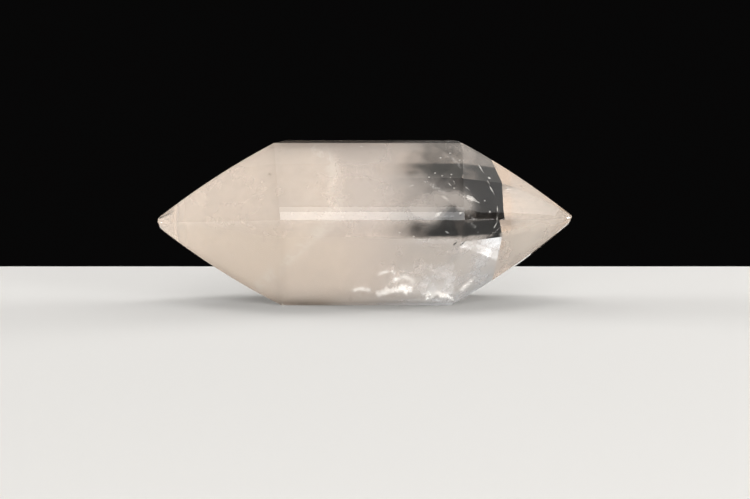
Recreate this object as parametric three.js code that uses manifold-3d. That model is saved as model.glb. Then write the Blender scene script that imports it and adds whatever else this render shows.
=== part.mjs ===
import * as THREE from 'three';
import { ConvexGeometry } from 'three/addons/geometries/ConvexGeometry.js';
import { mergeVertices } from 'three/addons/utils/BufferGeometryUtils.js';
import Module from 'manifold-3d';

// A polished double terminated quartz crystal: one solid, a hexagonal prism with a pyramid of
// six faces at each end. It lies on one prism face with its long axis along X, the edge that
// faces the viewer towards -Y and its clear end towards +X. The origin is on the resting
// face, below the middle of the length. Lengths in millimetres, angles in degrees.

const crystalLength = 110;      // from blunt tip to blunt tip
const prismHeight = 42;         // from the resting face to the top face
const frontEdge = { reach: 23.8, height: 23 };      // how far out and up the edge lies
const backEdge = { reach: 23.8, height: 23.4 };

// How far each slanting prism face leans from the vertical.
const lean = { upperFront: 30.9, lowerFront: 26.4, lowerBack: 29.1, upperBack: 28.4 };

// Polishing has rounded the upper face where it runs out to the front edge.
const easing = { height: 3.6, leanAtEdge: 9, bands: 4 };

// Where each prism edge stops and the pyramid begins, along X to the left and the right.
const shoulders = {
  front: [-21.1, 25.1],
  topFront: [-23.3, 25],
  topBack: [-21.7, 24.5],
  back: [-21.9, 28.2],
  bottomBack: [-21.9, 28.6],
  bottomFront: [-21.5, 22.3],
};

// The point each pyramid aims at: its height, and how far past the blunt tip it lies.
const leftPoint = { height: 20.6, overrun: 1.4 };
const rightPoint = { height: 21.7, overrun: 0.7 };

// The pyramid faces are gently domed: steeper by the tip than by the shoulder.
const doming = { swell: 0.21, bands: 12, smallest: 0.02 };

// Flats worn on the tips: a place on each flat and the way that it faces.
const wornFlats = [
  { at: [-55, 0, 21.3], facing: [-1, 0.1, -0.28] },
  { at: [-54.75, 0, 22], facing: [-1, -0.3, 0.45] },
  { at: [-54.7, -0.6, 19.9], facing: [-0.85, -0.5, -0.55] },
  { at: [55, 0, 22.4], facing: [1, -0.08, -0.42] },
  { at: [54.85, 0, 22.9], facing: [1, 0.25, 0.4] },
  { at: [54.3, -0.4, 20.9], facing: [0.75, -0.3, -0.75] },
];

// Shallow chips: the middle and the radius of the ball that each would fit.
const chips = [
  { at: [-55.2, -0.8, 20.1], radius: 0.75 },
  { at: [24.8, -12.9, 42.7], radius: 0.9 },
  { at: [22.9, -12.6, -0.75], radius: 0.95 },
  { at: [-21.4, 24.9, 23.1], radius: 1.1 },
];

const rad = THREE.MathUtils.degToRad;

// Walks up from the front edge over the eased bands: the points that round the face off.
function easedPoints() {
  const rise = easing.height / easing.bands;
  const points = [];
  let y = -frontEdge.reach;
  for (let band = 0; band < easing.bands; band++) {
    const share = (band + 0.5) / easing.bands;
    const bandLean = THREE.MathUtils.lerp(easing.leanAtEdge, lean.upperFront, share);
    y += rise * Math.tan(rad(bandLean));
    points.push({ y, z: frontEdge.height + rise * (band + 1) });
  }
  return points;
}

// The prism's edges in order round the section, each with its height, depth and two ends.
function prismEdges() {
  const eased = easedPoints();
  const last = eased[eased.length - 1];
  const edge = (y, z, [left, right]) => ({ y, z, left, right });

  const topFrontY = last.y + (prismHeight - last.z) * Math.tan(rad(lean.upperFront));
  const topBackY = backEdge.reach - (prismHeight - backEdge.height) * Math.tan(rad(lean.upperBack));
  const bottomBackY = backEdge.reach - backEdge.height * Math.tan(rad(lean.lowerBack));
  const bottomFrontY = -frontEdge.reach + frontEdge.height * Math.tan(rad(lean.lowerFront));

  // The eased edges stop on the slanting line that joins the two shoulders beside them.
  const easedEdges = eased.map(({ y, z }) => {
    const share = (z - frontEdge.height) / (prismHeight - frontEdge.height);
    const ends = [0, 1].map((side) =>
      THREE.MathUtils.lerp(shoulders.front[side], shoulders.topFront[side], share));
    return edge(y, z, ends);
  });

  return [
    edge(-frontEdge.reach, frontEdge.height, shoulders.front),
    ...easedEdges,
    edge(topFrontY, prismHeight, shoulders.topFront),
    edge(topBackY, prismHeight, shoulders.topBack),
    edge(backEdge.reach, backEdge.height, shoulders.back),
    edge(bottomBackY, 0, shoulders.bottomBack),
    edge(bottomFrontY, 0, shoulders.bottomFront),
  ];
}

// Copies of the shoulder ring, smaller and smaller towards the point. Every ring is the same
// shape at another scale, so the bands between them are flat.
function pyramidPoints(ring, point) {
  const base = new THREE.Vector3();
  ring.forEach((corner) => base.add(corner));
  base.divideScalar(ring.length).setY(0);

  const points = [];
  for (let band = 0; band <= doming.bands; band++) {
    const left = Math.max(1 - band / doming.bands, doming.smallest);
    const scale = left * (1 + doming.swell * (1 - left));
    const middle = base.clone().lerp(point, 1 - left);
    ring.forEach((corner) => {
      points.push(corner.clone().sub(base).multiplyScalar(scale).add(middle));
    });
  }
  return points;
}

function crystalPoints() {
  const edges = prismEdges();
  const half = crystalLength / 2;
  const leftRing = edges.map(({ left, y, z }) => new THREE.Vector3(left, y, z));
  const rightRing = edges.map(({ right, y, z }) => new THREE.Vector3(right, y, z));
  const leftTarget = new THREE.Vector3(-half - leftPoint.overrun, 0, leftPoint.height);
  const rightTarget = new THREE.Vector3(half + rightPoint.overrun, 0, rightPoint.height);
  return [...pyramidPoints(leftRing, leftTarget), ...pyramidPoints(rightRing, rightTarget)];
}

// A block with its underside on the flat, so that it takes away all that stands past it.
function wornAway({ at, facing }) {
  const size = 8;
  const block = new THREE.BoxGeometry(size, size, size);
  block.translate(0, 0, size / 2);
  const outward = new THREE.Vector3(...facing).normalize();
  const turn = new THREE.Quaternion().setFromUnitVectors(new THREE.Vector3(0, 0, 1), outward);
  block.applyQuaternion(turn);
  block.translate(...at);
  return block;
}

function chipBall({ at, radius }) {
  const ball = new THREE.IcosahedronGeometry(radius, 2);
  ball.translate(...at);
  return ball;
}

const wasm = await Module();
wasm.setup();

function toSolid(geometry) {
  const bare = geometry.clone();
  bare.deleteAttribute('normal');
  bare.deleteAttribute('uv');
  const merged = mergeVertices(bare, 1e-4);
  const vertProperties = new Float32Array(merged.attributes.position.array);
  const triVerts = new Uint32Array(merged.index.array);
  return new wasm.Manifold(new wasm.Mesh({ numProp: 3, vertProperties, triVerts }));
}

function toGeometry(solid) {
  const { vertProperties, triVerts } = solid.getMesh();
  const geometry = new THREE.BufferGeometry();
  geometry.setAttribute('position', new THREE.BufferAttribute(new Float32Array(vertProperties), 3));
  geometry.setIndex(new THREE.BufferAttribute(new Uint32Array(triVerts), 1));
  const flat = geometry.toNonIndexed();
  flat.computeVertexNormals();
  return flat;
}

let crystalSolid = toSolid(new ConvexGeometry(crystalPoints()));
for (const flat of wornFlats) {
  crystalSolid = crystalSolid.subtract(toSolid(wornAway(flat)));
}
for (const chip of chips) {
  crystalSolid = crystalSolid.subtract(toSolid(chipBall(chip)));
}

const quartz = new THREE.MeshStandardMaterial({
  color: 0xdcd2c6,
  roughness: 0.08,
  metalness: 0,
  transparent: true,
  opacity: 0.6,
});

const crystal = new THREE.Mesh(toGeometry(crystalSolid), quartz);
crystal.name = 'quartz_crystal';

const group = new THREE.Group();
group.add(crystal);

export default group;
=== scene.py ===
import math

import bmesh
import bpy
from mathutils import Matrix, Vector


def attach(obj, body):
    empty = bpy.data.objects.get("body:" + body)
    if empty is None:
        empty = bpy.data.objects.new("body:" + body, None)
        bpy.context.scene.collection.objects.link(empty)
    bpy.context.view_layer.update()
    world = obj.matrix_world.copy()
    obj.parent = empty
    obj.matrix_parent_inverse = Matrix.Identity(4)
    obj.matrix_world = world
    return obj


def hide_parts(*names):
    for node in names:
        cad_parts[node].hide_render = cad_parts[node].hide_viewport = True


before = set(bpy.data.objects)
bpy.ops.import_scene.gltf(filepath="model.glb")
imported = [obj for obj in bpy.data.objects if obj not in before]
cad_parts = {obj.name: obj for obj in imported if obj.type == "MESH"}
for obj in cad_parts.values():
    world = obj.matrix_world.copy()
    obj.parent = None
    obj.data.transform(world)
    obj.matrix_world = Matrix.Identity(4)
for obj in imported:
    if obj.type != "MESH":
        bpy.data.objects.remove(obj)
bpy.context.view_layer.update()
scene = bpy.context.scene
mm = 0.001

# The camera stands in front of the crystal, a little above it, and looks slightly down on it.
camera = {
    "place": (2.637 * mm, -428.8 * mm, 53.32 * mm),
    "down": 5.324,          # degrees
    "viewWidth": 26.09,     # degrees across the picture
    "sensor": 36,           # mm across
    "nearest": 10 * mm,
}


def makeCamera():
    bpy.ops.object.camera_add(
        location=camera["place"],
        rotation=(math.radians(90 - camera["down"]), 0, 0),
    )
    made = bpy.context.object
    made.name = "camera"
    made.data.sensor_width = camera["sensor"]
    made.data.lens = camera["sensor"] / 2 / math.tan(math.radians(camera["viewWidth"] / 2))
    made.data.clip_start = camera["nearest"]
    scene.camera = made


makeCamera()
print("camera placed")


# Helpers for the modelling

def pickNothing():
    bpy.ops.object.select_all(action="DESELECT")


def pickOnly(piece):
    pickNothing()
    piece.select_set(True)
    bpy.context.view_layer.objects.active = piece


def editAll(piece):
    pickOnly(piece)
    bpy.ops.object.mode_set(mode="EDIT")
    bpy.ops.mesh.select_all(action="SELECT")


def applyAll(piece):
    pickOnly(piece)
    for modifier in list(piece.modifiers):
        bpy.ops.object.modifier_apply(modifier=modifier.name)


def joinPieces(parts, name):
    pickNothing()
    for part in parts:
        part.select_set(True)
    bpy.context.view_layer.objects.active = parts[0]
    bpy.ops.object.join()
    joined = bpy.context.object
    joined.name = name
    joined.data.name = name
    return joined


def settle(piece, material):
    # leaves the piece at the origin with its place in its mesh, riding on the crystal's body
    pickOnly(piece)
    bpy.ops.object.transform_apply(location=True, rotation=True, scale=True)
    piece.data.materials.clear()
    piece.data.materials.append(material)
    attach(piece, "root")


# What counts as one corner, and as one flat face, when the solid's loose triangles are merged
merging = {
    "distance": 0.002 * mm,
    "flatUpTo": 0.15,        # degrees between faces
}


def crystalCopy(name):
    # the solid's own faces, merged, with the flat ones whole again
    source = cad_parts["quartz_crystal"]
    made = bpy.data.objects.new(name, source.data.copy())
    scene.collection.objects.link(made)
    editAll(made)
    bpy.ops.mesh.remove_doubles(threshold=merging["distance"])
    bpy.ops.mesh.dissolve_limited(angle_limit=math.radians(merging["flatUpTo"]))
    bpy.ops.mesh.normals_make_consistent(inside=False)
    bpy.ops.object.mode_set(mode="OBJECT")
    return made


# Helpers for the materials

def newMaterial(name):
    made = bpy.data.materials.new(name)
    made.use_nodes = True
    tree = made.node_tree
    shader = next(n for n in tree.nodes if n.type == "BSDF_PRINCIPLED")
    return made, tree, shader


def addNode(tree, kind, **settings):
    node = tree.nodes.new(kind)
    for key, value in settings.items():
        setattr(node, key, value)
    return node


def feed(tree, target, value):
    if isinstance(value, bpy.types.NodeSocket):
        tree.links.new(value, target)
    else:
        target.default_value = value


def maths(tree, operation, first, second=0.0, third=0.0, clamp=False):
    node = addNode(tree, "ShaderNodeMath", operation=operation, use_clamp=clamp)
    for socket, value in zip(node.inputs, (first, second, third)):
        feed(tree, socket, value)
    return node.outputs[0]


def ramp(tree, value, start, end, low=0.0, high=1.0, kind="SMOOTHSTEP"):
    node = addNode(tree, "ShaderNodeMapRange", interpolation_type=kind, clamp=True)
    for name, given in (
        ("Value", value),
        ("From Min", start),
        ("From Max", end),
        ("To Min", low),
        ("To Max", high),
    ):
        feed(tree, node.inputs[name], given)
    return node.outputs["Result"]


def noise(tree, place, scale, detail=4.0, rough=0.55, bent=0.0):
    node = addNode(tree, "ShaderNodeTexNoise")
    feed(tree, node.inputs["Vector"], place)
    for name, value in (
        ("Scale", scale),
        ("Detail", detail),
        ("Roughness", rough),
        ("Distortion", bent),
    ):
        feed(tree, node.inputs[name], value)
    return node.outputs["Fac"]


def blend(tree, share, first, second):
    # a mix of two colours; the Mix node has sockets of the same name for other kinds of values
    node = addNode(tree, "ShaderNodeMix", data_type="RGBA")
    takes = {socket.identifier: socket for socket in node.inputs}
    gives = {socket.identifier: socket for socket in node.outputs}
    feed(tree, takes["Factor_Float"], share)
    feed(tree, takes["A_Color"], first)
    feed(tree, takes["B_Color"], second)
    return gives["Result_Color"]


def newGroup(name, takes, gives):
    tree = bpy.data.node_groups.new(name, "ShaderNodeTree")
    for label, kind, value in takes:
        socket = tree.interface.new_socket(label, in_out="INPUT", socket_type=kind)
        socket.default_value = value
    for label, kind in gives:
        tree.interface.new_socket(label, in_out="OUTPUT", socket_type=kind)
    return tree, tree.nodes.new("NodeGroupInput").outputs, tree.nodes.new("NodeGroupOutput").inputs


# How milky the quartz is at each place: thick from near the left point to past the middle,
# thinning into clear quartz with some haze and smoky pockets. Of two limits, the change starts
# at the first and is complete at the second.
milkiness = {
    "band": (-52.4 * mm, -50.4 * mm),     # from the left tip's milk to the thin band beside it
    "tipMilk": 0.5,
    "bandMilk": 0.35,
    "leftFront": -49 * mm,                # right side of the thin band
    "frontBlur": 0.5 * mm,
    "frontWander": 2 * mm,
    "thickUpTo": -1 * mm,
    "clearFrom": 16 * mm,
    "wander": 15 * mm,                    # how far the broad noise moves the clear end's border
    "ragged": 9 * mm,                     # and the wispy noise
    "rightTip": (36.6 * mm, 37.8 * mm),   # where the haze in the right tip begins
    "rightTipMilk": 0.8,
    "shelf": (32.9 * mm, 33.5 * mm),      # flat underside of the haze along the top
    "shelfTilt": 0.23,
    "shelfMilk": 0.24,
    "lowCloud": (22.3 * mm, 21.2 * mm),   # flat top of the cloud low in the front half
    "lowCloudTilt": -0.17,
    "lowCloudDepth": (-2 * mm, -8 * mm),
    "lowCloudMilk": 1.3,
    "hazeBend": 14 * mm,                  # how far the broad noise bends the hazes
    "hazeCore": 0.1,                      # share of a haze's reach that has all of its milk
    "thickest": 1.1,
}

# Each noise: cells in a metre, detail, roughness and bend
milkNoise = {
    "broad": (48, 2.5, 0.55, 0.0),
    "wispy": (190, 5, 0.64, 0.4),
    "fine": (150, 3, 0.55, 0.0),
    "feathery": (330, 4, 0.7, 0.8),
}
# two values of the noise, and how much milk there is at each
milkTexture = {
    "all": (0.3, 0.7, 0.86, 1.1),
    "haze": (0.36, 0.64, 0.1, 1.8),
    "white": (0.45, 0.58, 0.0, 1.0),
}

# The line that the veil follows: how far along the crystal it stands, and the heights below and
# above which it runs off to the left
veilLine = {
    "along": -7.5 * mm,
    "below": 24 * mm,
    "slopeBelow": 1.05,
    "above": 35 * mm,
    "slopeAbove": 0.8,
    "band": (3.4 * mm, 0.6 * mm),         # distance from the line over which it turns white
    "white": 0.9,
}

# How warm the milk's colour is
warmth = {
    "veilBlend": 5 * mm,                  # to each side of the veil
    "leftOfVeil": 0.6,
    "rightOfVeil": 0.1,
    "low": (23 * mm, 15 * mm),            # added low down
    "lowAmount": 0.6,
    "lowAlong": (4 * mm, -9 * mm),        # less of it towards the clear end
    "lowShare": 0.2,
    "rightTip": (33 * mm, 37 * mm),
    "rightTipAmount": 0.8,
    "uneven": 0.9,
}

# Each haze: the middle and the reach in millimetres, and how much milk it adds
hazes = [
    ((6, -17, 28), (15, 10, 8), 0.38),
    ((17, -18, 26), (13, 7, 5.5), 0.3),
    ((19, -21, 25.4), (13, 6, 2.8), 1.5),
    ((13, -20.5, 25.6), (8, 5, 2.6), 1.0),
    ((21.5, -20.5, 25.6), (5.5, 5, 2.6), 1.0),
    ((6, -16, 19), (12, 9, 5), 0.3),
    ((23, -11, 41), (13, 7, 5), 0.6),
    ((22, -12, 37), (7, 8, 6), 0.25),
    ((18, -19.5, 30), (9, 5, 6), 0.3),
]
# the same for the smoky pockets, which take milk away
pockets = [
    ((13, -14, 36.5), (10.5, 9, 5.5), 1.0),
    ((4.5, -12, 33.5), (5.5, 15, 4.5), 0.5),
    ((4, -14, 20.6), (9, 15, 3.4), 0.6),
    ((33, -11, 18.5), (8.5, 10, 5.5), 1.6),
]
# and for the places where the cloud breaks up into white wisps
whites = [
    ((8.5, -13, 4.8), (8.5, 5, 3.8), 1.2),
    ((0, -13, 4.8), (9, 5, 2.4), 0.7),
    ((12.5, -13.5, 8.2), (7, 5, 3.6), 0.9),
    ((19.5, -13, 3), (7.5, 5, 4.6), 1.3),
    ((27.5, -11, 5), (6, 5, 4), 1.1),
    ((26, -17, 12), (5, 5, 3), 0.6),
]


def blob(tree, place, spec):
    # the whole amount in the middle of the stated place, none from its reach outwards
    middle, reach, amount = spec
    away = addNode(tree, "ShaderNodeVectorMath", operation="SUBTRACT")
    feed(tree, away.inputs[0], place)
    away.inputs[1].default_value = Vector(middle) * mm
    sized = addNode(tree, "ShaderNodeVectorMath", operation="DIVIDE")
    feed(tree, sized.inputs[0], away.outputs[0])
    sized.inputs[1].default_value = Vector(reach) * mm
    length = addNode(tree, "ShaderNodeVectorMath", operation="LENGTH")
    feed(tree, length.inputs[0], sized.outputs[0])
    return ramp(tree, length.outputs["Value"], 1.0, milkiness["hazeCore"], 0.0, amount)


def withBlobs(tree, value, operation, place, specs):
    for spec in specs:
        value = maths(tree, operation, value, blob(tree, place, spec))
    return value


def flatCloud(tree, depth, height, name):
    # milk to one side of a flat limit, which tilts towards the viewer
    tilted = maths(tree, "MULTIPLY_ADD", depth, milkiness[name + "Tilt"], height)
    return ramp(tree, tilted, *milkiness[name], 0.0, milkiness[name + "Milk"])


def pastVeil(tree, along, height):
    # how far to the right of the veil's line a place is
    below = maths(tree, "SUBTRACT", veilLine["below"], height)
    below = maths(tree, "MAXIMUM", below, 0.0)
    line = maths(tree, "MULTIPLY_ADD", below, -veilLine["slopeBelow"], veilLine["along"])
    above = maths(tree, "SUBTRACT", height, veilLine["above"])
    above = maths(tree, "MAXIMUM", above, 0.0)
    line = maths(tree, "MULTIPLY_ADD", above, -veilLine["slopeAbove"], line)
    return maths(tree, "SUBTRACT", along, line)


def milkGroup():
    tree, takes, gives = newGroup(
        "milk_in_quartz",
        [("Strength", "NodeSocketFloat", 1.0)],
        [("Milk", "NodeSocketFloat"), ("Warmth", "NodeSocketFloat"), ("White", "NodeSocketFloat")],
    )
    place = addNode(tree, "ShaderNodeTexCoord").outputs["Object"]
    split = addNode(tree, "ShaderNodeSeparateXYZ")
    feed(tree, split.inputs[0], place)
    along, depth, height = split.outputs["X"], split.outputs["Y"], split.outputs["Z"]

    # the thick milk and its ragged border towards the clear end
    broad = noise(tree, place, *milkNoise["broad"])
    moved = maths(tree, "SUBTRACT", broad, 0.5)
    wispy = noise(tree, place, *milkNoise["wispy"])
    torn = maths(tree, "SUBTRACT", wispy, 0.5)
    border = maths(tree, "MULTIPLY_ADD", moved, milkiness["wander"] * 2, along)
    border = maths(tree, "MULTIPLY_ADD", torn, milkiness["ragged"] * 2, border)
    body = ramp(tree, border, milkiness["clearFrom"], milkiness["thickUpTo"])

    # the hazes are bent by the same noise, so that none shows as an oval
    bend = maths(tree, "MULTIPLY", moved, milkiness["hazeBend"])
    bentPlace = addNode(tree, "ShaderNodeVectorMath", operation="ADD")
    feed(tree, bentPlace.inputs[0], place)
    feed(tree, bentPlace.inputs[1], bend)
    bent = bentPlace.outputs[0]
    haze = flatCloud(tree, depth, height, "shelf")
    haze = withBlobs(tree, haze, "ADD", bent, hazes)
    lowCloud = flatCloud(tree, depth, height, "lowCloud")
    near = ramp(tree, depth, *milkiness["lowCloudDepth"])
    haze = maths(tree, "MULTIPLY_ADD", lowCloud, near, haze)
    uneven = ramp(tree, wispy, *milkTexture["haze"], kind="LINEAR")
    haze = maths(tree, "MULTIPLY", haze, uneven)
    rightTip = ramp(tree, along, *milkiness["rightTip"], 0.0, milkiness["rightTipMilk"])
    haze = maths(tree, "ADD", haze, rightTip)
    milk = maths(tree, "ADD", body, haze)
    milk = withBlobs(tree, milk, "SUBTRACT", bent, pockets)

    # the fine unevenness, and the thinner milk in the left tip
    fine = noise(tree, place, *milkNoise["fine"])
    milk = maths(tree, "MULTIPLY", milk, ramp(tree, fine, *milkTexture["all"], kind="LINEAR"))
    front = maths(tree, "MULTIPLY_ADD", moved, milkiness["frontWander"], along)
    leftTip = ramp(tree, along, *milkiness["band"], milkiness["tipMilk"], milkiness["bandMilk"])
    start, blur = milkiness["leftFront"], milkiness["frontBlur"]
    milk = maths(tree, "MULTIPLY", milk, ramp(tree, front, start - blur, start + blur, leftTip))
    milk = maths(tree, "MAXIMUM", milk, 0.0)
    milk = maths(tree, "MINIMUM", milk, milkiness["thickest"])

    # warm and bright to the left of the veil, greyer to its right
    side = pastVeil(tree, front, height)
    blur = warmth["veilBlend"]
    warm = ramp(tree, side, blur, -blur, warmth["rightOfVeil"], warmth["leftOfVeil"])
    low = ramp(tree, height, *warmth["low"], 0.0, warmth["lowAmount"])
    share = ramp(tree, along, *warmth["lowAlong"], warmth["lowShare"], 1.0)
    warm = maths(tree, "ADD", warm, maths(tree, "MULTIPLY", low, share))
    rightTip = ramp(tree, along, *warmth["rightTip"], 0.0, warmth["rightTipAmount"])
    warm = maths(tree, "ADD", warm, rightTip)
    warm = maths(tree, "MULTIPLY_ADD", torn, warmth["uneven"], warm, clamp=True)
    feed(tree, gives["Warmth"], warm)

    # white wisps along the veil and where the low cloud is broken
    fromVeil = maths(tree, "ABSOLUTE", side)
    white = ramp(tree, fromVeil, *veilLine["band"], 0.0, veilLine["white"])
    white = withBlobs(tree, white, "ADD", bent, whites)
    feathery = noise(tree, place, *milkNoise["feathery"])
    white = maths(tree, "MULTIPLY", white, ramp(tree, feathery, *milkTexture["white"]))
    white = maths(tree, "MINIMUM", white, 1.0)
    feed(tree, gives["White"], white)

    fade = addNode(tree, "ShaderNodeAttribute", attribute_name="fade").outputs["Fac"]
    milk = maths(tree, "MAXIMUM", milk, white)
    milk = maths(tree, "MULTIPLY", milk, takes["Strength"])
    feed(tree, gives["Milk"], maths(tree, "MULTIPLY", milk, fade))
    return tree


milkTree = milkGroup()


# A ragged, wispy mask for veils and fractures, which fades with the sheet's own "fade" attribute
wispShape = {
    "noise": (5, 0.68, 0.6),    # detail, roughness and bend
    "rimLoss": 0.3,             # what the noise loses at the rim
    "rimFade": 0.35,            # value of the attribute from which the sheet is whole
}


def wispGroup():
    tree, takes, gives = newGroup(
        "wisps",
        [
            ("Scale", "NodeSocketFloat", 300.0),
            ("From", "NodeSocketFloat", 0.45),
            ("To", "NodeSocketFloat", 0.65),
            ("Strength", "NodeSocketFloat", 1.0),
        ],
        [("Mask", "NodeSocketFloat")],
    )
    place = addNode(tree, "ShaderNodeTexCoord").outputs["Object"]
    torn = noise(tree, place, takes["Scale"], *wispShape["noise"])
    fade = addNode(tree, "ShaderNodeAttribute", attribute_name="fade").outputs["Fac"]
    level = maths(tree, "SUBTRACT", torn, wispShape["rimLoss"])
    level = maths(tree, "MULTIPLY_ADD", fade, wispShape["rimLoss"], level)
    mask = ramp(tree, level, takes["From"], takes["To"])
    mask = maths(tree, "MULTIPLY", mask, ramp(tree, fade, 0.0, wispShape["rimFade"]))
    feed(tree, gives["Mask"], maths(tree, "MULTIPLY", mask, takes["Strength"]))
    return tree


wispTree = wispGroup()


def addGroup(tree, group, **values):
    node = addNode(tree, "ShaderNodeGroup", node_tree=group)
    for name, value in values.items():
        feed(tree, node.inputs[name], value)
    return node.outputs


# The crystal's polished faces
polish = {
    "edgeBevel": 0.14 * mm,
    "shortest": 2 * mm,      # shorter edges stay as they are,
    "tipFrom": 53 * mm,      # and so do those further out
    "sharpFrom": 14,         # degrees between faces that meet at a crisp edge
    "ior": 1.548,
    "marks": (900, 3, 0.7),  # polishing marks: cells in a metre, detail and roughness
    "dullness": (0.52, 0.8, 0.0, 0.05),        # two values of their noise, and how dull at each
    "tint": (0.97, 0.93, 0.88, 1.0),
    "absorption": 3.0,       # per metre
    "lampLight": (0.34, 0.335, 0.325, 1.0),    # what each face lets through of the lamps' light
}


def quartzMaterial():
    material, tree, shader = newMaterial("polished_quartz")
    output = next(n for n in tree.nodes if n.type == "OUTPUT_MATERIAL")
    place = addNode(tree, "ShaderNodeTexCoord").outputs["Object"]
    shader.inputs["Base Color"].default_value = (1, 1, 1, 1)
    shader.inputs["IOR"].default_value = polish["ior"]
    shader.inputs["Transmission Weight"].default_value = 1.0
    marks = noise(tree, place, *polish["marks"])
    feed(tree, shader.inputs["Roughness"], ramp(tree, marks, *polish["dullness"], kind="LINEAR"))
    inside = addNode(tree, "ShaderNodeVolumeAbsorption")
    inside.inputs["Color"].default_value = polish["tint"]
    inside.inputs["Density"].default_value = polish["absorption"]
    tree.links.new(inside.outputs[0], output.inputs["Volume"])

    # lamps reach what is inside straight through the faces, dimmed at each
    open = addNode(tree, "ShaderNodeBsdfTransparent")
    open.inputs["Color"].default_value = polish["lampLight"]
    path = addNode(tree, "ShaderNodeLightPath")
    mixed = addNode(tree, "ShaderNodeMixShader")
    tree.links.new(path.outputs["Is Shadow Ray"], mixed.inputs[0])
    tree.links.new(shader.outputs[0], mixed.inputs[1])
    tree.links.new(open.outputs[0], mixed.inputs[2])
    tree.links.new(mixed.outputs[0], output.inputs["Surface"])
    return material


def makeCrystal():
    made = crystalCopy("quartz_body")
    editAll(made)
    bpy.ops.mesh.select_mode(type="EDGE")
    bpy.ops.mesh.select_all(action="DESELECT")
    mesh = bmesh.from_edit_mesh(made.data)
    for edge in mesh.edges:
        middle = (edge.verts[0].co + edge.verts[1].co) / 2
        turned = edge.calc_face_angle(0) > math.radians(polish["sharpFrom"])
        offTip = abs(middle.x) < polish["tipFrom"]
        edge.select_set(turned and offTip and edge.calc_length() > polish["shortest"])
    bmesh.update_edit_mesh(made.data)
    bpy.ops.mesh.bevel(
        offset=polish["edgeBevel"], segments=2, profile=0.5, affect="EDGES", clamp_overlap=True
    )
    bpy.ops.mesh.select_mode(type="VERT")
    bpy.ops.object.mode_set(mode="OBJECT")
    pickOnly(made)
    bpy.ops.object.shade_smooth_by_angle(angle=math.radians(polish["sharpFrom"]))
    weighted = made.modifiers.new("weighted", "WEIGHTED_NORMAL")
    weighted.keep_sharp = True
    weighted.mode = "FACE_AREA"
    applyAll(made)
    settle(made, quartzMaterial())
    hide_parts("quartz_crystal")


makeCrystal()
print("crystal made")


# The milk in the quartz: sheets one inside another, each with the crystal's form. Their open
# ends lie at different places, so that the milk has no single front towards the clear end.
cloud = {
    "heart": (-24 * mm, 0, 21.2 * mm),
    "innerRadius": 20.5,     # mm from the heart to the faces
    "smoothing": 5,          # rounds
    "rippleSize": 22 * mm,
    "ripple": 0.6 * mm,
    "rippleShare": 0.6,      # of a sheet's depth at most
    "endOff": 2,             # mm cut off with a sheet's flat end
    "fadeLength": 9 * mm,    # over which a sheet thins out at its end
    "alpha": 0.3,
    "endAlpha": 0.6,
    "warm": (0.96, 0.875, 0.79, 1.0),
    "grey": (0.84, 0.77, 0.72, 1.0),
    "white": (1.0, 0.945, 0.885, 1.0),
}
# depth below the faces, where the sheet ends along X and the size of its cells, in mm
outerSheets = [(1.2, 70, 1.6), (2.5, 70, 1.6), (4.0, 70, 1.6), (5.9, 36, 1.6), (8.2, 15, 1.6)]
shadedSheets = [(3.25, 2, 1.6), (10.0, 8, 1.6)]
endSheets = [(1.85, -2, 1.6), (4.9, 10, 1.6)]
skinSheets = [(0.45, -38, 0.55), (0.65, 70, 1.2)]


def paintEnd(piece, end):
    # an attribute that falls to 0 where the sheet ends
    values = []
    for vert in piece.data.vertices:
        share = min(max((end * mm - vert.co.x) / cloud["fadeLength"], 0), 1)
        values.append(share * share * (3 - 2 * share))
    fade = piece.data.attributes.new("fade", "FLOAT", "POINT")
    fade.data.foreach_set("value", values)


def makeCloud(name, sheets, material, shades=False):
    ripple = bpy.data.textures.new("ripple", "CLOUDS")
    ripple.noise_scale = cloud["rippleSize"]
    ripple.noise_depth = 1
    layers = []
    for depth, end, cell in sheets:
        layer = crystalCopy("layer")
        share = 1 - depth / cloud["innerRadius"]
        editAll(layer)
        bpy.ops.transform.resize(value=(share,) * 3, center_override=cloud["heart"])
        bpy.ops.mesh.bisect(
            plane_co=(end * mm, 0, 0), plane_no=(1, 0, 0), clear_outer=True, use_fill=True
        )
        bpy.ops.object.mode_set(mode="OBJECT")
        remesh = layer.modifiers.new("remesh", "REMESH")
        remesh.mode = "VOXEL"
        remesh.voxel_size = cell * mm
        smooth = layer.modifiers.new("smooth", "SMOOTH")
        smooth.iterations = cloud["smoothing"]
        wave = layer.modifiers.new("wave", "DISPLACE")
        wave.texture = ripple
        wave.texture_coords = "LOCAL"
        wave.mid_level = 0.5
        wave.strength = min(cloud["ripple"], depth * cloud["rippleShare"] * mm)
        applyAll(layer)

        # the flat end goes, so that the sheet stays open there
        openAt = end - cloud["endOff"]
        editAll(layer)
        bpy.ops.mesh.bisect(plane_co=(openAt * mm, 0, 0), plane_no=(1, 0, 0), clear_outer=True)
        bpy.ops.object.mode_set(mode="OBJECT")
        paintEnd(layer, openAt)
        layers.append(layer)
    made = joinPieces(layers, name)
    pickOnly(made)
    bpy.ops.object.shade_smooth()
    made.visible_shadow = shades
    settle(made, material)


def cloudMaterial(name, alpha):
    material, tree, shader = newMaterial(name)
    milk = addGroup(tree, milkTree, Strength=alpha)
    colour = blend(tree, milk["Warmth"], cloud["grey"], cloud["warm"])
    colour = blend(tree, milk["White"], colour, cloud["white"])
    feed(tree, shader.inputs["Base Color"], colour)
    shader.inputs["Roughness"].default_value = 0.9
    shader.inputs["Specular IOR Level"].default_value = 0.0
    feed(tree, shader.inputs["Alpha"], milk["Milk"])
    return material


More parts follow.
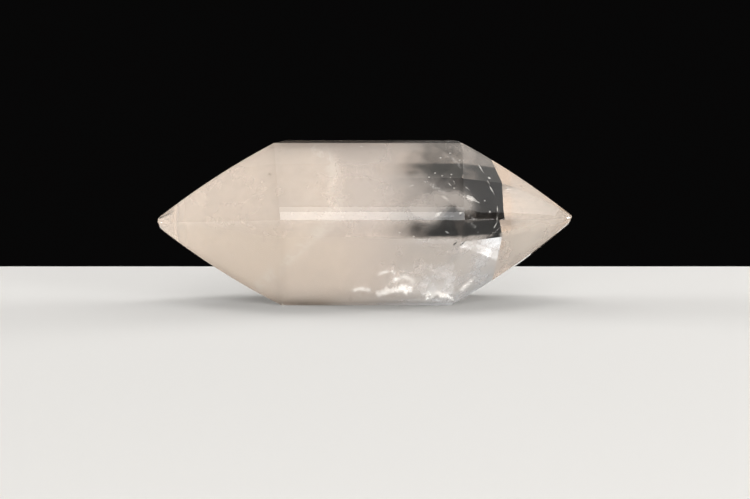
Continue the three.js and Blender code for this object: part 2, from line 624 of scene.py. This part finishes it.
milk = cloudMaterial("milk", cloud["alpha"])
milkEnd = cloudMaterial("milk_end", cloud["endAlpha"])
makeCloud("milky_cloud", outerSheets, milk)
makeCloud("cloud_heart", shadedSheets, milk, shades=True)
makeCloud("cloud_end", endSheets, milkEnd)
makeCloud("cloud_skin", skinSheets, milk)
print("cloud made")


# Veils and fractures: crumpled sheets inside the quartz, pulled along a route. Places in mm.
sheetShape = {
    "smoothness": 0.8,       # of the curve through the route's points
    "crumpleDetail": 3,
}


def makeRibbon(route, across, cuts):
    # a strip as wide as across, pulled out from the route's first point along the rest of it
    bpy.ops.mesh.primitive_plane_add(size=mm, location=Vector(route[0]) * mm)
    made = bpy.context.object
    bpy.ops.object.transform_apply(location=True, rotation=True, scale=True)
    editAll(made)
    bpy.ops.mesh.merge(type="CENTER")
    bpy.ops.mesh.extrude_region_move(TRANSFORM_OT_translate={"value": Vector(across) * mm})
    bpy.ops.mesh.select_all(action="SELECT")
    for start, end in zip(route, route[1:]):
        step = (Vector(end) - Vector(start)) * mm
        bpy.ops.mesh.extrude_region_move(TRANSFORM_OT_translate={"value": step})
    bpy.ops.mesh.select_all(action="SELECT")
    bpy.ops.mesh.subdivide(number_cuts=cuts, smoothness=sheetShape["smoothness"])
    bpy.ops.object.mode_set(mode="OBJECT")
    return made


def crumple(piece, size, height):
    texture = bpy.data.textures.new("crumple", "CLOUDS")
    texture.noise_scale = size * mm
    texture.noise_depth = sheetShape["crumpleDetail"]
    wave = piece.modifiers.new("crumple", "DISPLACE")
    wave.texture = texture
    wave.texture_coords = "LOCAL"
    wave.mid_level = 0.5
    wave.strength = height * mm
    applyAll(piece)
    pickOnly(piece)
    bpy.ops.object.shade_smooth()


def paintFade(piece, rings):
    # an attribute that is 0 on the sheet's rim and 1 from that many rings inwards
    mesh = bmesh.new()
    mesh.from_mesh(piece.data)
    depth = {vert: 0 for vert in mesh.verts if vert.is_boundary}
    edge = list(depth)
    for ring in range(1, rings + 1):
        inner = {e.other_vert(vert) for vert in edge for e in vert.link_edges} - depth.keys()
        depth.update({vert: ring for vert in inner})
        edge = list(inner)
    values = [depth.get(vert, rings) / rings for vert in mesh.verts]
    mesh.free()
    fade = piece.data.attributes.new("fade", "FLOAT", "POINT")
    fade.data.foreach_set("value", values)


def wispMaterial(name, settings):
    material, tree, shader = newMaterial(name)
    wisps = addGroup(
        tree,
        wispTree,
        Scale=settings["scale"],
        From=settings["from"],
        To=settings["to"],
        Strength=settings["strength"],
    )
    shader.inputs["Base Color"].default_value = settings["colour"]
    shader.inputs["Roughness"].default_value = settings["rough"]
    # the emission is a painted glow: the sheet shines a little in its own colour with no lamp on it
    shader.inputs["Emission Color"].default_value = settings["colour"]
    shader.inputs["Emission Strength"].default_value = settings["paintedGlow"]
    feed(tree, shader.inputs["Alpha"], wisps["Mask"])
    return material


def makeSheets(name, settings, material):
    parts = []
    for route, across in settings["sheets"]:
        part = makeRibbon(route, across, settings["cuts"])
        paintFade(part, settings["rim"])
        crumple(part, settings["crumpleSize"], settings["crumpleHeight"])
        parts.append(part)
    made = joinPieces(parts, name)
    made.visible_shadow = False
    settle(made, material)


# The veil that parts the thick milk from the smoother part, with a faint painted glow
veil = {
    "sheets": [
        (
            [(-13.5, -13.2, 40.8), (-8.6, -14.4, 38.6), (-6.6, -16.7, 35.4), (-6.4, -18.2, 32.8),
             (-7.8, -19.5, 30.4), (-7, -20.7, 27.8), (-8.4, -21.5, 25.4)],
            (-3.2, 5.5, -1.2),
        ),
        (
            [(-13, -13.8, 39.9), (-12.8, -15.5, 37.2), (-10.6, -17.2, 34), (-9.4, -18.3, 32)],
            (-2.2, 4, -0.6),
        ),
        (
            [(-9.8, -19.4, 30.4), (-12.3, -20.2, 28.2), (-13.2, -21.2, 25.7), (-13.6, -21.7, 22.6),
             (-13.9, -21.2, 20.2), (-15.6, -19.8, 17.2), (-18.2, -18.4, 14.2), (-22, -16, 11.4),
             (-26.5, -13.4, 10.2)],
            (-3.4, 4.5, 1.2),
        ),
    ],
    "cuts": 9,
    "rim": 4,
    "crumpleSize": 2.6,
    "crumpleHeight": 1.4,
    "scale": 420.0,
    "from": 0.38,
    "to": 0.62,
    "strength": 0.5,
    "colour": (1.0, 0.92, 0.84, 1.0),
    "rough": 0.6,
    # painted glow, so that the veil shines a little without a lamp
    "paintedGlow": 0.3,
}
makeSheets("veil", veil, wispMaterial("veil_white", veil))

# Feathery bands in the clear part
feathers = {
    "sheets": [
        ([(14.2, -16.5, 31.6), (16.8, -17.2, 30), (19, -18, 28.4), (20.9, -18.6, 27)], (0.9, 0.6, 1.9)),
        ([(9.4, -13.5, 30.5), (12.2, -14, 27.8), (15, -15, 25.6)], (1.6, 2.4, 1.6)),
        ([(32.2, -13, 21.6), (33.2, -12.6, 22.6), (34, -12, 23.8)], (-0.5, 0.9, 0.8)),
        ([(31.6, -12.8, 18.6), (32.6, -13.4, 20.2), (33.8, -13.4, 21.6)], (-0.2, 0.6, 0.3)),
        ([(24.4, -19, 22.4), (25.6, -18, 21.2), (27.2, -17, 20)], (1.0, 1.5, 2.2)),
        ([(19.8, -19, 20.6), (21, -19.2, 19.8), (22.6, -19, 19.7)], (0.4, 1.2, 0.6)),
        ([(20, -14, 38.5), (22.6, -13.4, 36.4), (24.4, -13, 33.6)], (1.4, 1.6, 0.6)),
    ],
    "cuts": 8,
    "rim": 3,
    "crumpleSize": 1.6,
    "crumpleHeight": 0.8,
    "scale": 700.0,
    "from": 0.4,
    "to": 0.75,
    "strength": 0.6,
    "colour": (0.97, 0.95, 0.93, 1.0),
    "rough": 0.5,
    "paintedGlow": 0.0,
}
makeSheets("feathers", feathers, wispMaterial("feather_white", feathers))

# Bright broken patches low down on the clear side: white sheets lit by the lamps, with a painted glow on
# top
fractures = {
    "sheets": [
        ([(2.5, -13, 4.6), (6, -13.6, 5.8), (9.6, -14, 6.4), (11.8, -13.6, 5.4)], (-0.5, 0.9, -3.4)),
        ([(9, -14.2, 6.6), (10.8, -14.5, 6.3), (12.8, -14.3, 5.2)], (-0.6, 0.5, -2.2)),
        ([(6.6, -14, 8.4), (10.2, -14.9, 9.4), (14.2, -14.7, 8)], (-0.4, 0.9, -3)),
        ([(14.6, -13, 3.4), (17.2, -13.5, 5), (19.6, -13.2, 5.4)], (1, 0.9, -3.4)),
        ([(18.4, -12.6, 4.4), (21, -12.6, 4), (23.2, -12, 2.6)], (0.4, 0.8, -2.4)),
        ([(16.2, -15.5, 10.6), (17.4, -15.9, 10.4), (18.8, -15.7, 10.3)], (-0.2, 0.3, -1.4)),
        ([(-4, -13.1, 5.4), (-1, -13.4, 5.9), (2.4, -13.3, 5.4)], (0.2, 0.7, -2.4)),
        ([(24.6, -11.8, 2.8), (27, -10.8, 5), (29, -9.9, 7.4)], (-1.6, 0.9, 1.6)),
        ([(3, -14.6, 9.4), (6, -15.2, 10.4), (8.4, -15.4, 10)], (-0.2, 0.6, -1.6)),
    ],
    "cuts": 9,
    "rim": 4,
    "crumpleSize": 1.6,
    "crumpleHeight": 0.8,
    "scale": 600.0,
    "from": 0.29,
    "to": 0.64,
    "strength": 1.0,
    "colour": (1.0, 0.985, 0.96, 1.0),
    "rough": 0.5,
    # painted glow, so that the patches shine brighter than the lamps alone make them
    "paintedGlow": 0.6,
}
makeSheets("fractures", fractures, wispMaterial("fracture_white", fractures))
print("veil, feathers and fractures made")


# Single flakes, needles and dark specks: place, length, width and tilt, in mm and degrees.
# A tilt turns the right end down.
flakes = [
    ((26.6, -17.4, 27.4), 3.5, 1.5, 22),
    ((20.4, -17.6, 27.5), 1.8, 0.8, 38),
    ((18.6, -21.3, 24.1), 1.5, 0.9, -30),
    ((24.2, -21, 24.3), 0.9, 0.5, -20),
    ((31.3, -10.4, 32.3), 0.9, 0.5, 20),
    ((31, -14.6, 23.9), 0.5, 0.45, 0),
]
needles = [
    ((29, -10.6, 35), 2.4, 0.42, 62),
    ((31.7, -11, 29.1), 2.6, 0.36, 63),
    ((30.9, -10.6, 31.1), 1.2, 0.2, 60),
    ((32.9, -12.2, 24.2), 1.7, 0.3, 95),
    ((33.4, -13.2, 20.4), 2.6, 0.16, -44),
    ((32.4, -12.6, 21.8), 1.6, 0.26, -62),
    ((25.6, -17.2, 30.2), 1.3, 0.22, 40),
    ((21.6, -16.2, 31), 1.2, 0.25, 50),
    ((22.8, -15.4, 31.4), 1.0, 0.2, 70),
    ((28.2, -16, 20.2), 0.8, 0.22, -50),
]
dots = [
    (-10.9, -17.8, 14.7), (-11.2, -14.8, 9), (12.4, -20, 18.9), (8.8, -20.2, 19.9),
    (21.9, -11.9, 38.8), (24.3, -12.4, 36.9), (19.4, -13.3, 37.8), (17.9, -15.6, 34),
    (19.8, -14.9, 33.1), (22.1, -15.6, 33.6), (-0.9, -12.8, 40.9), (16.4, -16.3, 33),
    (22.8, -15.2, 29.7), (29.6, -13.5, 26.4), (14.9, -19.4, 18.1),
]
specks = [
    ((-24, -15.6, 33.9), 0.75, 0.55, 10),
    ((-36.6, -9.6, 26.9), 0.5, 0.35, -60),
    ((-23.2, -17.7, 30.6), 0.35, 0.25, 0),
    ((-23.5, -17.9, 30), 0.3, 0.25, 0),
    ((-11, -12.8, 2.9), 0.65, 0.3, 0),
    ((-42, -6.6, 22.4), 0.35, 0.25, 0),
    ((-30.3, -13.6, 19.3), 0.4, 0.25, 0),
    ((-39.4, -8.4, 16.4), 0.4, 0.28, 0),
    ((-35, -11.6, 15.6), 0.4, 0.28, 0),
    ((37.5, -12.2, 21.9), 0.8, 0.3, 85),
]
cracks = [
    ((22.9, -20.4, 16.8), 1.3, 0.45, -45),
    ((24.9, -20.2, 16.9), 1.8, 0.5, -38),
    ((9.3, -12.4, 1.1), 1.2, 0.08, 55),
    ((8.7, -12.4, 0.9), 0.8, 0.07, 20),
    ((7.6, -15, 11.4), 1.6, 0.12, 48),
    ((9, -14.8, 10.4), 2.2, 0.12, 35),
    ((17.2, -17, 15.4), 2.6, 0.14, 25),
    ((19.6, -16.6, 14.2), 1.8, 0.1, 20),
]
dotSize = (0.42, 0.36)       # length and width

# Each kind of grain: its rows, the share of its width that is left at the right end, its look
grains = {
    "flakes": (flakes, 0.35, "flake_white"),
    "needles": (needles, 0.5, "needle_white"),
    "dots": ([(at, *dotSize, 0) for at in dots], 0.8, "flake_white"),
    "specks": (specks, 0.7, "speck_brown"),
    "cracks": (cracks, 0.5, "crack_dark"),
}
# the alphas are at the grain's thin and thick places; scale is in cells per metre
grainLooks = {
    "flake_white": {"colour": (0.98, 0.96, 0.93, 1), "rough": 0.4, "alpha": (0.35, 0.95), "scale": 900},
    "needle_white": {"colour": (0.95, 0.93, 0.9, 1), "rough": 0.5, "alpha": (0.1, 0.75), "scale": 700},
    "speck_brown": {"colour": (0.13, 0.085, 0.045, 1), "rough": 0.8, "alpha": (0.4, 0.9), "scale": 1500},
    "crack_dark": {"colour": (0.05, 0.045, 0.04, 1), "rough": 0.7, "alpha": (0.1, 0.8), "scale": 1100},
}
grainNoise = (0.35, 0.65)    # between these values a grain goes from thin to thick
lens = {
    "thickness": 0.3,        # for a length and width of 1
    "drawnFrom": 0.1,        # the part to the right of this is drawn out
    "drawnLength": 1.5,
    "drawnThickness": 0.6,
}


def makeLens(endWidth):
    # a thin lens in the XZ plane, drawn out to the right
    bpy.ops.mesh.primitive_ico_sphere_add(subdivisions=2, radius=0.5)
    made = bpy.context.object
    editAll(made)
    bpy.ops.transform.resize(value=(1, lens["thickness"], 1), center_override=(0, 0, 0))
    bpy.ops.mesh.select_all(action="DESELECT")
    mesh = bmesh.from_edit_mesh(made.data)
    for vert in mesh.verts:
        vert.select_set(vert.co.x > lens["drawnFrom"])
    mesh.select_flush(True)
    bmesh.update_edit_mesh(made.data)
    bpy.ops.transform.resize(
        value=(lens["drawnLength"], lens["drawnThickness"], endWidth),
        center_override=(lens["drawnFrom"], 0, 0),
    )
    bpy.ops.object.mode_set(mode="OBJECT")
    return made


def scatter(name, rows, endWidth, material):
    base = makeLens(endWidth)
    parts = []
    for at, length, width, tilt in rows:
        part = base.copy()
        part.data = base.data.copy()
        scene.collection.objects.link(part)
        part.scale = (length * mm, width * mm, width * mm)
        part.rotation_euler = (0, math.radians(tilt), 0)
        part.location = Vector(at) * mm
        pickOnly(part)
        bpy.ops.object.transform_apply(location=True, rotation=True, scale=True)
        parts.append(part)
    bpy.data.objects.remove(base)
    made = joinPieces(parts, name)
    pickOnly(made)
    bpy.ops.object.shade_smooth()
    made.visible_shadow = False
    settle(made, material)


def grainMaterial(name, look):
    # uneven, so that a grain is thick in one place and thin in another
    material, tree, shader = newMaterial(name)
    place = addNode(tree, "ShaderNodeTexCoord").outputs["Object"]
    uneven = noise(tree, place, look["scale"], detail=3, rough=0.6)
    shader.inputs["Base Color"].default_value = look["colour"]
    shader.inputs["Roughness"].default_value = look["rough"]
    feed(tree, shader.inputs["Alpha"], ramp(tree, uneven, *grainNoise, *look["alpha"]))
    return material


grainMaterials = {name: grainMaterial(name, look) for name, look in grainLooks.items()}
for grainName, (rows, endWidth, look) in grains.items():
    scatter(grainName, rows, endWidth, grainMaterials[look])
print("grains made")


# Floor, light and surround
floor = {
    "width": 0.9,
    "front": -0.5,
    "back": 0.085,
    "colour": (0.76, 0.74, 0.71, 1.0),
    "rough": 0.85,
}


def makeFloor():
    depth = floor["back"] - floor["front"]
    bpy.ops.mesh.primitive_plane_add(size=1, location=(0, (floor["back"] + floor["front"]) / 2, 0))
    made = bpy.context.object
    made.name = "floor"
    made.scale = (floor["width"], depth, 1)
    bpy.ops.object.transform_apply(location=True, rotation=True, scale=True)
    material, tree, shader = newMaterial("pale_floor")
    shader.inputs["Base Color"].default_value = floor["colour"]
    shader.inputs["Roughness"].default_value = floor["rough"]
    made.data.materials.append(material)


# Each lamp: width and height in metres, the brightness of its face, how far off it stands, and
# where, in degrees: azimuth 0 is in front of the crystal, 180 behind it.
lamps = {
    "front_softbox": (0.9, 0.2, 12.1, 0.8, -10, 3.2),
    "right_softbox": (0.34, 0.44, 19.5, 0.9, 112, 5),
    "strip_light": (0.26, 0.27, 4.2, 0.8, 0, 28),
    "strip_edge": (0.26, 0.17, 1.8, 0.8, 0, 43.5),
    "top_fill": (0.8, 0.34, 0.5, 0.8, 3, 63),
    "top_back": (0.5, 0.5, 2.2, 0.8, 180, 76),
    "side_fill": (0.36, 0.3, 1.0, 0.8, 90, 35),
    "back_fill": (0.27, 0.13, 0.42, 0.8, 180, 36),
    "back_right": (0.26, 0.13, 0.62, 0.8, 201, 35.6),
    "back_glow": (0.22, 0.1, 0.25, 0.78, 178, 29.6),
    "back_glow_low": (0.22, 0.1, 0.25, 0.76, 178, 28.2),
    "back_softbox": (0.24, 0.1, 1.2, 0.8, 202, 43.2),
    "left_softbox": (0.28, 0.2, 60.0, 0.8, -101, 4),
    "left_back": (0.3, 0.3, 2.5, 0.8, -138, 44),
    "right_back": (0.3, 0.3, 2.5, 0.8, 140, 44),
    "right_front": (0.28, 0.2, 44.0, 0.8, 52, 2.8),
}
lampAim = Vector((0, 0, 21 * mm))        # the crystal's middle
surround = {
    "colour": (0.0024, 0.0023, 0.0023, 1),
    "strength": 1.0,
}


def addLamp(name, width, height, brightness, distance, azimuth, elevation):
    turn, rise = math.radians(azimuth), math.radians(elevation)
    outward = Vector((
        math.sin(turn) * math.cos(rise),
        -math.cos(turn) * math.cos(rise),
        math.sin(rise),
    ))
    bpy.ops.object.light_add(type="AREA", location=lampAim + outward * distance)
    made = bpy.context.object
    made.name = name
    made.data.shape = "RECTANGLE"
    made.data.size = width
    made.data.size_y = height
    made.data.energy = brightness * math.pi * width * height
    made.rotation_euler = outward.to_track_quat("Z", "Y").to_euler()
    made.visible_camera = False


def makeSurround():
    world = scene.world or bpy.data.worlds.new("surround")
    scene.world = world
    world.use_nodes = True
    shade = next(n for n in world.node_tree.nodes if n.type == "BACKGROUND")
    shade.inputs["Color"].default_value = surround["colour"]
    shade.inputs["Strength"].default_value = surround["strength"]


makeFloor()
for lampName, numbers in lamps.items():
    addLamp(lampName, *numbers)
makeSurround()

scene.view_settings.view_transform = "Standard"
scene.cycles.max_bounces = 24
scene.cycles.transmission_bounces = 20
scene.cycles.glossy_bounces = 12
scene.cycles.diffuse_bounces = 4
scene.cycles.transparent_max_bounces = 64
scene.cycles.caustics_reflective = False
scene.cycles.caustics_refractive = False
print("stage set")
